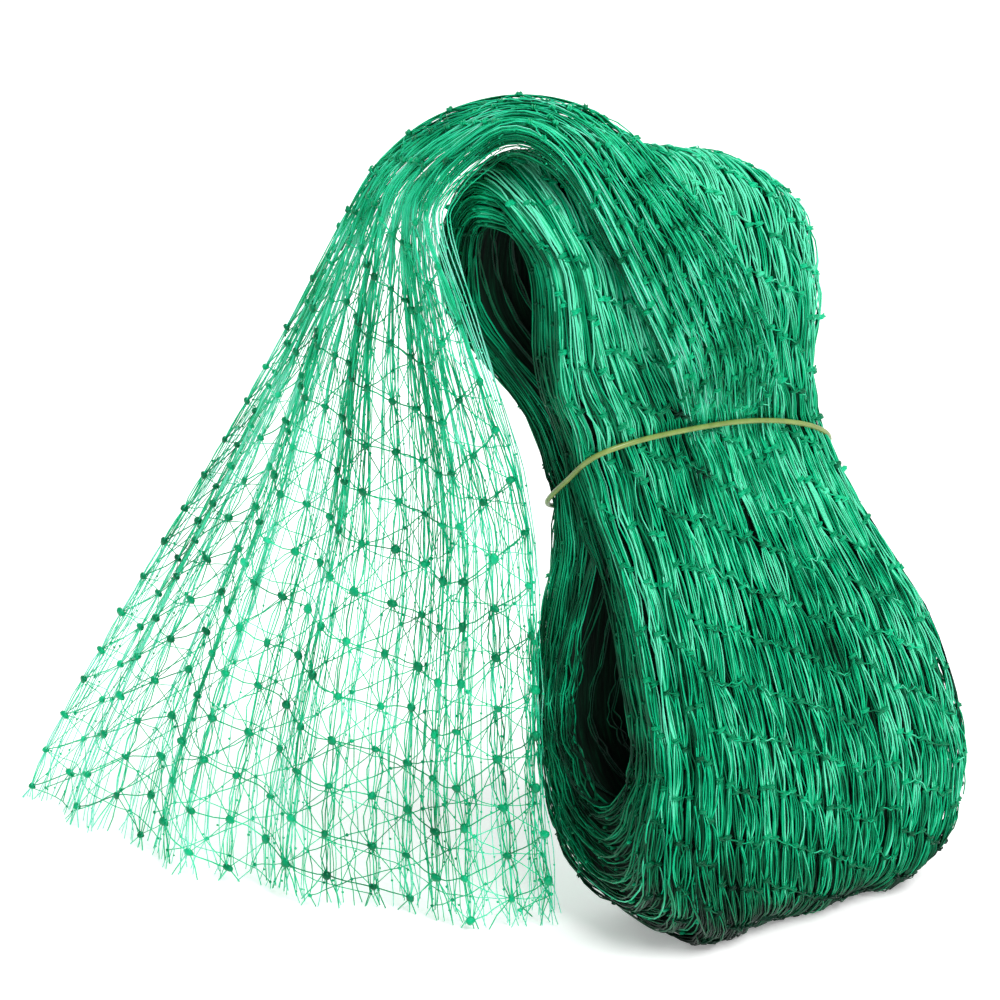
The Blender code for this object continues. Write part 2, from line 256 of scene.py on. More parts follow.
GATHERED_FRONT_TONE = 0.71  # of the outer layer there
GATHERED_THINNING = 0.18    # how much finer the strands look drawn tight there
GATHERED_SCATTER = 0.20     # how unevenly the layers lie there, as a share of their depth
GATHERED_LIFT = 0.10        # how far they move up to the outer one
CREST_SHADE = 0.55          # painted shade: how much deeper in tone it is where it faces up
COLUMN_SPREAD = 0.27        # how much wider apart than even the columns are at the far edge
INNER_COLUMN_SPREAD = 0.52  # and those of the inner layers
CREST_STRANDS = 70          # more strands between the layers where the loose end goes over the top
CREST_FROM, CREST_TO = 0.31, 0.47       # how far up from the hem they run
HEM_REACH = 0.028           # how far across the hem reaches past the gathered net's near edge
HEM_REACH_TO = 0.20         # how far up from the hem that ends
THREADED_LAYERS = 3         # how many of them make the front piece and have cross threads along their rows
LOOSE_EDGES = (0.006, 0.994)            # how far across the first and the last column are
ROWS_BEYOND = 10            # rows past each end, because some rows climb
DRIFT_TO = 0.30             # how far up from the hem the drift ends
DRIFT_MIDDLE = 0.3          # the share of the drift by which the gathered net lies to the other side
INNER_WAVES, INNER_WAVE = 6, 0.016      # how often and how far the inner layers' columns swing to the side
INNER_CLIMB = 0.3           # the share of the front layer's climb that slanted rows have
GATHERED_WANDER = 0.4       # the share of the wander that the gathered net has
EDGE_MARGIN = 0.004         # how far from the hem and from the upper end the last knots are, at the least
STRAND_POINTS = 90
POINT_SHARES = (0.0, 0.45, 0.88, 1.0)   # of a strand's points, and how far up from the hem the middle two are
POINT_DISTANCES = (0.27, 0.41)
CUT_ENDS = (0.008, 0.016)   # how far below the lowest knot a strand is cut
CUT_HIGHEST = 0.006
LAYER_UNEVENNESS = 0.0002
BOW_APART, BOW_SCATTER = 0.008, 0.8     # how far a bundle's strands bow apart, and a share of the wander
TUFT_APART, TUFT_SCATTER = 0.25, 0.15   # how far apart their cut ends point
HEM_WIDTH = 0.22
NEAR_EDGE_MIDDLE = 0.55     # how far across the open net has its layer's own tone
EDGE_SHEEN_WIDTH = 0.3
TONED_SIDES = (0.35, 0.95)  # where in the gathered thickness the inner and the outer tone are
LOOSE_TONE_SCATTER, GATHERED_TONE_SCATTER = 0.08, 0.14

# How far the front layer's rows climb or drop from the near edge to the far one, over its great folds
ROW_COLUMNS = ("across", "climb")
ROWS = [(0.0, 0.0), (0.12, -0.022), (0.45, 0.004), (0.72, 0.028), (1.0, -0.014)]

# Toward the roll the loose end gathers into bundles, between these distances up from the hem
BUNDLES = 9
BUNDLES_FROM, BUNDLES_TO = 0.27, 0.36
BUNDLE_PULL = 0.34          # how much of the way to its bundle's middle a strand goes
BUNDLE_RIDGE = 0.11         # as a share of the gathered net's thickness
INNER_BUNDLING = 0.15       # the share of that which the inner layers show


def column(columns, rows, name):
    """One column of a table as an array."""
    return np.array([row[columns.index(name)] for row in rows], float)


def named(columns, rows):
    """The rows of a table as dictionaries."""
    return [dict(zip(columns, row)) for row in rows]


def unit(vectors):
    return vectors / np.maximum(np.linalg.norm(vectors, axis=-1, keepdims=True), 1e-12)


def part_way(values, start, stop):
    """How far values have come from start to stop, from 0 to 1."""
    return np.clip((values - start) / (stop - start), 0, 1)


def eased(part):
    """A part from 0 to 1, with a gentle start and a gentle end."""
    return part * part * (3 - 2 * part)


def arched(part):
    """1 halfway, and 0 where part is 0 or 1."""
    return 4 * part * (1 - part)


def smooth(keys, values, at):
    """A table's values read at any value of its keys, along a smooth curve through the rows."""
    last = len(keys) - 1
    rows = np.arange(last + 1)
    before, after = np.maximum(rows - 1, 0), np.minimum(rows + 1, last)
    slopes = (values[after] - values[before]) / (keys[after] - keys[before])
    at = np.clip(at, keys[0], keys[last])
    k = np.clip(np.searchsorted(keys, at, side="right") - 1, 0, last - 1)
    span, rise = keys[k + 1] - keys[k], values[k + 1] - values[k]
    t = (at - keys[k]) / span
    leaving, arriving = slopes[k] * span - rise, rise - slopes[k + 1] * span
    return values[k] + rise * t + t * (1 - t) * (leaving * (1 - t) + arriving * t)


def table_at(columns, rows, names, at, key="height"):
    """Some of a table's columns, read at any value of its key column."""
    keys = column(columns, rows, key)
    return [smooth(keys, column(columns, rows, name), at) for name in names]


def along_rows(rows, at, closed=False):
    """Values on the smooth (Catmull-Rom) curve through a table's rows, at fractional row numbers."""
    count = len(rows)
    k = np.floor(at).astype(int)
    if not closed:
        k = np.clip(k, 0, count - 2)
    t = at - k
    steps = [(k + step) % count if closed else np.clip(k + step, 0, count - 1) for step in (-1, 0, 1, 2)]
    p0, p1, p2, p3 = (rows[step] for step in steps)
    t = t.reshape(t.shape + (1,) * (rows.ndim - 1))
    return 0.5 * (2 * p1 + (p2 - p0) * t + (2 * p0 - 5 * p1 + 4 * p2 - p3) * t ** 2
                  + (3 * p1 - p0 - 3 * p2 + p3) * t ** 3)


# ---- The roll's surface

def loop_walls():
    """The loop's wall: how far round each of its sections is, the sections, and how long the loop is."""
    height, front, back, eye_height, eye_front, eye_back = (
        column(LOOP_COLUMNS, LOOP, name) for name in LOOP_COLUMNS[1:])
    up_front = np.stack([front, height, eye_front, eye_height], -1)
    down_back = np.stack([-back, height, -eye_back, eye_height], -1)[-2:0:-1]
    rows = np.vstack([up_front, down_back])
    walls = along_rows(rows, np.arange(0, len(rows), 1 / CURVE_STEPS), closed=True)
    walls = np.vstack([walls, walls[:1]])
    lengths = np.append(0, np.cumsum(np.linalg.norm(np.diff(walls[:, :2], axis=0), axis=1)))
    return lengths / lengths[-1], walls, lengths[-1]


WALL_TURNS, WALLS, LOOP_LENGTH = loop_walls()
TURN_REACH = 0.004          # how far round, each way, the wall's run is taken over


def wall_at(turn, deep):
    """Places (out, up) in the loop's wall: how far round from the foot up the front, and how deep in."""
    outside_out, outside_up, inside_out, inside_up = (
        np.interp(turn % 1, WALL_TURNS, WALLS[:, i]) for i in range(4))
    return np.stack([outside_out + (inside_out - outside_out) * deep,
                     outside_up + (inside_up - outside_up) * deep], -1)


def band_bulge(up, out):
    """How far the netting swells on each side of the band that holds it in."""
    band_up = BAND_HEIGHT + BAND_TILT * np.clip(out / WAIST_DEPTH, -1, 1)
    reach = (np.abs(up - band_up) / BAND_SWELL_AT) ** 2
    return BAND_SWELL * reach * np.exp(1 - reach)


def roll_surface(turn, across, deep, proud):
    """Points of the roll and their outward normals."""
    turn, across, deep, proud = np.broadcast_arrays(turn, across, deep, proud)
    here = wall_at(turn, deep)
    run = unit(wall_at(turn + TURN_REACH, deep) - wall_at(turn - TURN_REACH, deep))
    normal = np.stack([run[..., 1], -run[..., 0]], -1)
    here = here + normal * (proud + band_bulge(here[..., 1], here[..., 0]))[..., None]
    near, far, near_lift, far_lift = table_at(END_COLUMNS, ENDS, END_COLUMNS[1:], here[..., 1])
    recess, = table_at(RECESS_COLUMNS, RECESS, ["share"], here[..., 1])
    recess = recess * np.clip(here[..., 0] / RECESS_OUT, 0, 1) * np.clip(1 - across, 0, 1) ** 4
    along = near + (far - near) * (across + recess)
    height = here[..., 1] + near_lift * (1 - across) ** 2 + far_lift * across ** 3
    height = np.maximum(height, FLOOR_REST)
    points = (FOOT_CENTRE - CENTRE + ALONG * along[..., None] + OUT * here[..., :1] + UP * height[..., None])
    return points, OUT * normal[..., :1] + UP * normal[..., 1:]


def sunk_at(across):
    """How deep in the wall the outermost turn that reaches this far across lies."""
    return table_at(SECTION_COLUMNS, SECTION, ["sunk"], across, "across")[0]


# ---- The loose end's surface

def front_turn(height):
    """How far round the roll's front is at a height."""
    front = WALL_TURNS < 0.5
    return np.interp(height, WALLS[front, 1], WALL_TURNS[front])


def tail_rows():
    """The loose end's rows under the band and down the roll's front, worked out from the roll's surface."""
    rows = []
    for row in named(TAIL_COLUMNS, TAIL):
        near, far = table_at(END_COLUMNS, ENDS, ("near", "far"), row["height"])
        sides = []
        for side in ("near", "far"):
            across = (row[side] - near) / (far - near)
            point, _ = roll_surface(front_turn(row["height"]), across, 0.0, row["proud"])
            sides.append(tuple(point + CENTRE))
        rows.append(("tail", *sides, 0.0, TAIL_THICK, 0.0))
    return rows


LOOSE_ROWS = tail_rows() + LOOSE
LOOSE_STATIONS = 12         # between two rows, for measuring along the loose end
LOOSE_LINES = 25            # across the loose end, for the same


def loose_surface(place, across, side, proud=0.0):
    """Points of the loose end and their outward normals. place is a fractional row number."""
    place, across, side, proud = np.broadcast_arrays(place, across, side, proud)
    near, far = (column(LOOSE_COLUMNS, LOOSE_ROWS, name) for name in ("near", "far"))
    belly, thick, fold = (
        along_rows(column(LOOSE_COLUMNS, LOOSE_ROWS, name), place) for name in ("belly", "thick", "fold"))
    reach = 0.25        # of a row, each way, for the sheet's run
    last = len(LOOSE_ROWS) - 1.0
    ahead, behind = np.minimum(place + reach, last), np.maximum(place - reach, 0.0)
    run = sum(along_rows(edge, ahead) - along_rows(edge, behind) for edge in (near, far))
    near, far = along_rows(near, place), along_rows(far, place)
    face = unit(np.cross(far - near, run))
    ridge, = table_at(FOLD_COLUMNS, FOLDS, ["ridge"], across, "across")
    lift = belly * arched(across) + fold * ridge + side * thick / 2 + proud
    points = near + (far - near) * across[..., None] + face * lift[..., None] - CENTRE
    points[..., 2] = np.maximum(points[..., 2], FLOOR_REST)
    return points, face


def loose_lengths():
    """Distances up from the hem, on a grid of lines across the loose end and of places along it."""
    places = np.linspace(0, len(LOOSE_ROWS) - 1, (len(LOOSE_ROWS) - 1) * LOOSE_STATIONS + 1)
    lines = np.linspace(0, 1, LOOSE_LINES)
    points, _ = loose_surface(places[None, :], lines[:, None], 0.0)
    steps = np.linalg.norm(np.diff(points, axis=1), axis=2)
    up_from_hem = np.cumsum(steps[:, ::-1], axis=1)
    return places[::-1], np.hstack([np.zeros((LOOSE_LINES, 1)), up_from_hem])


HEM_PLACES, HEM_LENGTHS = loose_lengths()


def loose_place(distance, across):
    """The place along the loose end that is so far up from the hem."""
    distance, across = np.broadcast_arrays(distance, across)
    at = np.clip(across, 0, 1) * (LOOSE_LINES - 1)
    low = np.clip(np.floor(at).astype(int), 0, LOOSE_LINES - 2)
    place = np.zeros(distance.shape)
    for line in range(LOOSE_LINES):
        read = np.interp(distance, HEM_LENGTHS[line], HEM_PLACES)
        place += np.where(low == line, read * (1 - (at - low)), 0)
        place += np.where(low + 1 == line, read * (at - low), 0)
    return place


def bundling(distance):
    """How far the strands so far up from the hem have come together in bundles, from 0 to 1."""
    return eased(part_way(distance, BUNDLES_FROM, BUNDLES_TO))


def loose_points(distance, across, side, proud=0.0):
    """Points of the loose end so far up from its hem, drawn together where it is gathered, and normals."""
    distance, across, side, proud = np.broadcast_arrays(distance, across, side, proud)
    round_bundle = math.tau * (BUNDLES * across - 0.5)
    share = bundling(distance) * np.clip(side, INNER_BUNDLING, 1)
    side = side + share * 2 * BUNDLE_RIDGE * np.cos(round_bundle)
    across = across - share * BUNDLE_PULL * np.sin(round_bundle) / (math.tau * BUNDLES)
    across = across - HEM_REACH * (1 - across) ** 2 * np.clip(1 - distance / HEM_REACH_TO, 0, 1)
    return loose_surface(loose_place(distance, across), across, side, proud)


# ---- Tubes, lumps and meshes

def tube_mesh(paths, normals, radius, tones, closed=False):
    """Vertices, quads, triangles and tones of three-sided tubes along paths of one number of points."""
    count, length, _ = paths.shape
    sides = 3
    if closed:
        run = np.roll(paths, -1, axis=1) - np.roll(paths, 1, axis=1)
    else:
        run = np.gradient(paths, axis=1)
    run = unit(run)
    across = unit(np.cross(run, normals))
    up = np.cross(across, run)
    angles = math.pi / 2 + math.tau * np.arange(sides) / sides
    radius = np.broadcast_to(radius, (count, length))[..., None, None]
    rings = paths[:, :, None] + radius * (
        across[:, :, None] * np.cos(angles)[:, None] + up[:, :, None] * np.sin(angles)[:, None])
    vertices = rings.reshape(-1, 3)
    tones = np.repeat(np.broadcast_to(tones, (count, length)).reshape(-1), sides)
    spans = length if closed else length - 1
    path, span, side = np.meshgrid(np.arange(count), np.arange(spans), np.arange(sides), indexing="ij")
    ahead, beside = (span + 1) % length, (side + 1) % sides
    first = path * length * sides
    quads = np.stack([first + span * sides + side, first + ahead * sides + side,
                      first + ahead * sides + beside, first + span * sides + beside], -1).reshape(-1, 4)
    if closed:
        return vertices, quads, np.zeros((0, 3), int), tones
    starts = np.arange(count)[:, None] * length * sides
    ends = starts + (length - 1) * sides
    caps = np.vstack([starts + np.array([[0, 1, 2]]), ends + np.array([[2, 1, 0]])])
    return vertices, quads, caps, tones


def ball(rounds):
    """A small sphere's vertices and triangles."""
    mesh = bpy.data.meshes.new("ball")
    form = bmesh.new()
    bmesh.ops.create_icosphere(form, subdivisions=rounds, radius=1.0)
    form.to_mesh(mesh)
    form.free()
    vertices = np.array([tuple(v.co) for v in mesh.vertices])
    faces = np.array([tuple(f.vertices) for f in mesh.polygons])
    bpy.data.meshes.remove(mesh)
    return vertices, faces


def lump_mesh(centres, normals, runs, sizes, tones, rounds, shape):
    """Vertices, quads, triangles and tones of knots: small uneven balls, each across its strand's run."""
    base, faces = ball(rounds)
    count = len(centres)
    across = unit(np.cross(runs, normals))
    runs = unit(np.cross(normals, across))
    phases = CHANCE.uniform(0, math.tau, (count, 1, 3))
    swell = 1 + KNOT_UNEVENNESS * np.sin(base[None] * KNOT_RIPPLES + phases).sum(-1, keepdims=True) / 2
    spread = base[None] * swell * np.array(shape) * sizes[:, None, None]
    vertices = (centres[:, None] + spread[..., :1] * across[:, None] + spread[..., 1:2] * runs[:, None]
                + spread[..., 2:] * normals[:, None])
    all_faces = (faces[None] + len(base) * np.arange(count)[:, None, None]).reshape(-1, 3)
    return (vertices.reshape(-1, 3), np.zeros((0, 4), int), all_faces,
            np.repeat(np.broadcast_to(tones, count), len(base)))


def closed_body(points, tone):
    """Vertices, quads, triangles and tones of one body: rings of points, the last joined to the first."""
    rings, around, _ = points.shape
    ring, place = np.indices((rings, around))
    here, there = ring * around, (ring + 1) % rings * around
    ahead = (place + 1) % around
    quads = np.stack([here + place, here + ahead, there + ahead, there + place], -1).reshape(-1, 4)
    return points.reshape(-1, 3), quads, np.zeros((0, 3), int), np.full(rings * around, tone)


def joined(name, parts, material):
    """One object from many parts' vertices, quads, triangles and tones."""
    vertices = np.vstack([part[0] for part in parts])
    vertices[:, 2] = np.maximum(vertices[:, 2], 0.0)
    tones = np.concatenate([part[3] for part in parts])
    starts = np.cumsum([0] + [len(part[0]) for part in parts[:-1]])
    quads = np.vstack([part[1] + start for part, start in zip(parts, starts)])
    triangles = np.vstack([part[2] + start for part, start in zip(parts, starts)])
    loops = np.concatenate([quads.ravel(), triangles.ravel()])
    sizes = np.concatenate([np.full(len(quads), 4), np.full(len(triangles), 3)])
    mesh = bpy.data.meshes.new(name)
    mesh.vertices.add(len(vertices))
    mesh.vertices.foreach_set("co", vertices.astype(np.float32).ravel())
    mesh.loops.add(len(loops))
    mesh.loops.foreach_set("vertex_index", loops.astype(np.int32))
    mesh.polygons.add(len(sizes))
    mesh.polygons.foreach_set("loop_start", np.append(0, np.cumsum(sizes[:-1])).astype(np.int32))
    mesh.attributes.new("tone", "FLOAT", "POINT").data.foreach_set("value", tones.astype(np.float32))
    mesh.update(calc_edges=True)
    mesh.shade_smooth()
    mesh.materials.append(material)
    made = bpy.data.objects.new(name, mesh)
    bpy.context.scene.collection.objects.link(made)
    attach(made, "root")
    print(f"{name}: {2 * len(quads) + len(triangles)} triangles")
    return made


# ---- Materials

def feed(tree, node, inputs):
    """Sets a node's inputs, each to a value or from another node's socket."""
    for name, given in inputs.items():
        if isinstance(given, bpy.types.NodeSocket):
            tree.links.new(given, node.inputs[name])
        else:
            node.inputs[name].default_value = given


def added(tree, kind, inputs, output):
    """A new node's output socket."""
    node = tree.nodes.new("ShaderNode" + kind)
    feed(tree, node, inputs)
    return node.outputs[output]


def new_material(name):
    made = bpy.data.materials.new(name)
    made.use_nodes = True
    tree = made.node_tree
    return made, tree, tree.nodes["Principled BSDF"]


def ramp(tree, source, stops):
    """A colour ramp fed by a socket; stops are (place, (r, g, b))."""
    node = tree.nodes.new("ShaderNodeValToRGB")
    elements = node.color_ramp.elements
    while len(elements) < len(stops):
        elements.new(0.5)
    for element, (place, colour) in zip(elements, stops):
        element.position = place
        element.color = (*colour, 1.0)
    feed(tree, node, {"Fac": source})
    return node.outputs["Color"]


def noise(tree, scale, detail=2.0, vector=None):
    if vector is None:
        vector = added(tree, "TexCoord", {}, "Object")
    return added(tree, "TexNoise", {"Scale": scale, "Detail": detail, "Vector": vector}, "Fac")


def spread(tree, source, low, high, start=0.0, stop=1.0):
    """A socket's start to stop taken to low to high."""
    reach = {"From Min": start, "From Max": stop, "To Min": low, "To Max": high}
    return added(tree, "MapRange", {"Value": source, **reach}, "Result")


def summed(tree, first, second):
    return added(tree, "Math", {0: first, 1: second}, "Value")


def bump(tree, height, distance, strength=0.6):
    return added(tree, "Bump", {"Height": height, "Distance": distance, "Strength": strength}, "Normal")


def yarn_material(name, stops, roughness, translucence):
    """Green monofilament: each strand has its own tone, with painted shade and painted light added, mottled
    along its length, with a soft gloss.
    """
    made, tree, shader = new_material(name)
    tone = tree.nodes.new("ShaderNodeAttribute")
    tone.attribute_name = "tone"
    mottle = spread(tree, summed(tree, noise(tree, 70.0), noise(tree, 22.0)), -0.28, 0.28, 0.65, 1.35)
    feed(tree, shader, {
        "Base Color": ramp(tree, summed(tree, tone.outputs["Fac"], mottle), stops),
        "Roughness": spread(tree, noise(tree, 400.0), *roughness),
        "Specular IOR Level": 0.40,
        "Specular Tint": (0.25, 1.00, 0.64, 1.0),
        "Subsurface Weight": translucence,
        "Subsurface Radius": (0.4, 1.0, 0.8),
        "Subsurface Scale": 0.0006,
        "Normal": bump(tree, noise(tree, 2500.0, 1.0), 0.00008),
    })
    return made


def core_material():
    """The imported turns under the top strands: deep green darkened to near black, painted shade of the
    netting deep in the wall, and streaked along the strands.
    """
    made, tree, shader = new_material("netting_in_painted_shade")
    place = tree.nodes.new("ShaderNodeUVMap")
    place.uv_map = "Strands"
    along = added(tree, "Mapping", {"Vector": place.outputs["UV"], "Scale": (900.0, 30.0, 1.0)}, "Vector")
    streaks = noise(tree, 1.0, 3.0, along)
    colours = [(0.30, (0.000, 0.002, 0.001)), (0.55, (0.000, 0.012, 0.005)), (0.75, (0.000, 0.045, 0.018))]
    feed(tree, shader, {
        "Base Color": ramp(tree, streaks, colours),
        "Roughness": spread(tree, streaks, 0.6, 0.9),
        "Specular IOR Level": 0.15,
        "Normal": bump(tree, streaks, 0.0006, 1.0),
    })
    return made


def rubber_material():
    """Yellow-green rubber: satin, and faintly mottled."""
    made, tree, shader = new_material("band_rubber")
    colours = [(0.25, (0.140, 0.200, 0.040)), (0.75, (0.250, 0.340, 0.085))]
    feed(tree, shader, {
        "Base Color": ramp(tree, noise(tree, 160.0, 3.0), colours),
        "Roughness": spread(tree, noise(tree, 700.0), 0.24, 0.36),
        "Normal": bump(tree, noise(tree, 1800.0), 0.00006),
    })
    return made


# ---- The roll's netting

def waves(at, count, size):
    """A smooth random wave along values of at, the same all round where at closes on itself."""
    total = np.zeros(np.shape(at))
    for k in range(1, count + 1):
        total += CHANCE.normal() / k * np.sin(math.tau * k * at + CHANCE.uniform(0, math.tau))
    return total * size


def sheet_deep(across):
    """How deep in the wall the outermost strands lie: at the near end the outer turns stop short."""
    deep = sunk_at(across)
    for (start, here), (stop, _) in zip(SHEETS[:-1], SHEETS[1:]):
        deep = np.where((across >= start) & (across < stop), here, deep)
    return deep


def net_surface(turn, across, below, deep=None):
    """Points of the roll's netting and their normals. Strands lean as they go over the lobe."""
    turn, across, below = np.broadcast_arrays(turn, across, below)
    across = np.clip(across, 0.0, 1.0)
    deep = sheet_deep(across.mean(axis=-1, keepdims=True)) if deep is None else deep
    height = wall_at(turn, deep)[..., 1]
    lean = -LOBE_LEAN * eased(part_way(height, LOBE_FROM, LOBE_TO)) * arched(across)
    return roll_surface(turn, across + lean, deep, -below)


def pleats(columns):
    """How far each column's knots are shifted along the strands, and how far it swells out.

    The columns lie in pleats of three to six, and each pleat's knots make a chain that slants down.
    """
    shift, swell = np.zeros(columns), np.zeros(columns)
    start = 0
    while start < columns:
        count = min(CHANCE.randint(*PLEAT_COLUMNS), columns - start)
        place = np.arange(count) - (count - 1) / 2
        slope = CHANCE.uniform(*CHAIN_SLOPES)
        drop = slope * place * ROLL_WIDTH / columns
        shift[start:start + count] = CHANCE.uniform(-0.5, 0.5) * MESH_SIZE - drop
        swell[start:start + count] = PLEAT_SWELL * (1 - (2 * place / count) ** 2) - PLEAT_SINK
        start += count
    return shift, swell


def roll_knots(layer, start=0.0, stop=1.0):
    """Where a roll layer's knots are, by column and row: how far round, how far across, how far below."""
    columns = layer["columns"]
    rows = round(LOOP_LENGTH / MESH_SIZE)
    shift, swell = pleats(columns)
    shift = shift[:, None] + CHANCE.normal(0, ROW_SCATTER, (columns, rows))
    turn = (np.arange(rows)[None] + shift / MESH_SIZE) / rows
    across = start + (stop - start) * ((np.arange(columns) + 0.5) / columns)[:, None]
    across = across + CHANCE.normal(0, COLUMN_SCATTER, (columns, rows)) / ROLL_WIDTH
    across = across + waves(np.arange(rows) / rows, COLUMN_WAVES, COLUMN_WAVE / ROLL_WIDTH)
    below = layer["below"] - swell[:, None] + CHANCE.normal(0, DEPTH_SCATTER, (columns, rows))
    return turn, across, below


def roll_strands(layer, turn, across, below):
    """A roll layer's strands as closed paths: how far round, across and below the surface."""
    columns, rows = turn.shape
    strands, steps = layer["strands"], layer["steps"]
    slot = np.arange(strands)[None, :, None] + CHANCE.normal(0, STRAND_MIXING, (columns, strands, rows))
    slot = slot.argsort(axis=1).argsort(axis=1) - (strands - 1) / 2
    at = np.arange(steps) / steps
    arch = arched(at)
    each = (columns, strands, rows, 1)
    slot = slot[..., None] + (np.roll(slot, -1, axis=2) - slot)[..., None] * at
    apart = slot * (layer["pinch"] + (layer["spread"] - layer["pinch"]) * arch)
    apart = apart + CHANCE.normal(0, STRAND_STRAY, each) * arch
    rise = layer["arch"] * CHANCE.uniform(0.0, 1.0, each) * arch
    inward = np.clip(np.minimum(across, 1 - across) / ARCH_MARGIN, 0.1, 1)
    rise = rise * inward[:, None, :, None]
    laps = (np.arange(rows) == rows - 1).astype(float)
    ahead = [np.roll(turn, -1, axis=1) + laps, np.roll(across, -1, axis=1), np.roll(below, -1, axis=1)]
    here, there = (np.stack(values)[:, :, None, :, None] for values in ([turn, across, below], ahead))
    path = here + (there - here) * at
    shape = (columns * strands, rows * steps)
    path_turn, path_across, path_below = (np.broadcast_to(values, each[:3] + (steps,)) for values in path)
    return (path_turn.reshape(shape), (path_across + apart / ROLL_WIDTH).reshape(shape),
            (path_below - rise).reshape(shape))


def strand_tones(count, base, groups):
    """A tone for each strand, about a base tone; neighbours in a group are alike."""
    shared = np.repeat(CHANCE.normal(0, BUNDLE_TONE_SCATTER, groups), count // groups)
    return (base + shared + CHANCE.normal(0, STRAND_TONE_SCATTER, count))[:, None]


def loose_edge_gap(points):
    """How far points are from the loose end's near edge."""
    edge, _ = loose_surface(np.linspace(0, len(LOOSE_ROWS) - 1, 4 * len(LOOSE_ROWS)), 0.0, 0.0)
    return np.min([np.linalg.norm(points - place, axis=-1) for place in edge], axis=0)


def painted_shading(points, normals, across):
    """How much painted shade and painted light change the netting's tone from place to place on the roll."""
    height = points[..., 2]
    frontward = (normals * OUT).sum(-1)
    floorward = np.minimum(normals[..., 2], 0) - part_way(height, *FLOOR_SHADE_HEIGHTS) ** 2
    near = (part_way(across, *NEAR_SHADE_PLACES) * part_way(height, *NEAR_SHADE_HEIGHTS)
            * np.clip(frontward, 0, 1))
    loose = part_way(loose_edge_gap(points), *LOOSE_SHADE_GAPS)
    sides = np.maximum(part_way(across, *LOBE_SHEEN_FAR), part_way(across, *LOBE_SHEEN_NEAR))
    lobe = sides * part_way(height, *LOBE_SHEEN_HEIGHTS) * part_way(frontward, *LOBE_SHEEN_FACING)
    return FLOOR_SHADE * floorward - NEAR_SHADE * near - LOOSE_SHADE * loose + LOBE_SHEEN * lobe


def roll_layer_parts(layer, knots, deep=None, slant=0.0, shade=1.0):
    """The strands of one layer over the roll."""
    turn, across, below = roll_strands(layer, *knots)
    points, normals = net_surface(turn, across + slant * np.sin(2 * math.tau * turn), below, deep)
    tones = strand_tones(len(points), layer["tone"], layer["columns"])
    tones = tones + shade * painted_shading(points, normals, across)
    return tube_mesh(points, normals, layer["radius"], tones, closed=True)


def end_parts(far):
    """The netting of the wound turns whose edges show at one end of the roll, and their knots."""
    parts = []
    for row in named(END_TURN_COLUMNS, END_TURNS + ([] if far else STEP_TURNS)):
        layer = dict(zip(ROLL_LAYER_COLUMNS, END_TURN_LAYER))
        layer["tone"] -= END_TURN_SHADE * row["deep"]
        start, stop = row["edge"], row["edge"] + END_TURN_REACH
        turn, across, below = roll_knots(layer, *((1 - stop, 1 - start) if far else (start, stop)))
        strands = layer["columns"] * layer["strands"]
        strand_deep = row["deep"] + CHANCE.normal(0, END_TURN_SCATTER, (strands, 1))
        at = np.arange(turn.shape[1] * layer["steps"]) / (turn.shape[1] * layer["steps"])
        wander = sum(CHANCE.normal(0, END_TURN_SCATTER / k, (strands, 1))
                     * np.sin(math.tau * (k * at + CHANCE.uniform(0, 1, (strands, 1)))) for k in (1, 2, 3))
        strand_deep = np.clip(strand_deep + wander, 0, 1)
        parts.append(roll_layer_parts(layer, (turn, across, below), strand_deep, shade=END_TURN_SHADING))
        parts.append(end_knot_parts(turn, across, below, row["deep"], layer["tone"] - 0.15))
    return parts


def lining_parts():
    """Strands over the inside of the loop's two eyes, which run aslant."""
    layer = dict(zip(ROLL_LAYER_COLUMNS, LINING_LAYER))
    return [roll_layer_parts(layer, roll_knots(layer), 1.0, LINING_SLANT)]


def knot_places(turn, across, below, deep=None):
    """Where knots of the roll are, their normals, and which way their strands run."""
    points, normals = net_surface(turn, across, below, deep)
    ahead, _ = net_surface(turn + KNOT_AHEAD, across, below, deep)
    return [values.reshape(-1, 3) for values in (points, normals, ahead - points)]


def end_knot_parts(turn, across, below, deep, tone):
    """The knots of a turn whose edge shows at the roll's end: small lumps of thread."""
    lift, size, shape = 0.0004, 0.0009, (1.5, 0.8, 0.8)
    places = knot_places(turn, across, below - lift, deep)
    sizes = size * CHANCE.uniform(0.8, 1.15, turn.size)
    return lump_mesh(*places, sizes, CHANCE.normal(tone, BUNDLE_TONE_SCATTER, turn.size), 1, shape)


def wrap_parts(points, normals, runs, width, tones):
    """Two turns of thread over a bundle of strands at each knot."""
    steps, low_end, radius = 8, 0.05, 0.00038
    rise, sink, apart, askew = 0.0009, 0.0001, 0.0004, 0.00035
    angle = np.linspace(low_end, math.pi - low_end, steps)
    across = unit(np.cross(runs, normals))
    runs = unit(np.cross(normals, across))
    parts = []
    for side in (-1, 1):
        half = width * CHANCE.uniform(0.85, 1.15, len(points))
        skew = side * apart + CHANCE.normal(0, askew, (len(points), 1)) * np.cos(angle)
        path = (points[:, None] + across[:, None] * (half[:, None] * np.cos(angle))[..., None]
                + normals[:, None] * (rise * np.sin(angle) - sink)[None, :, None]
                + runs[:, None] * skew[..., None])
        outward = unit(path - points[:, None] + normals[:, None] * apart)
        parts.append(tube_mesh(path, outward, radius, tones[:, None]))
    return parts


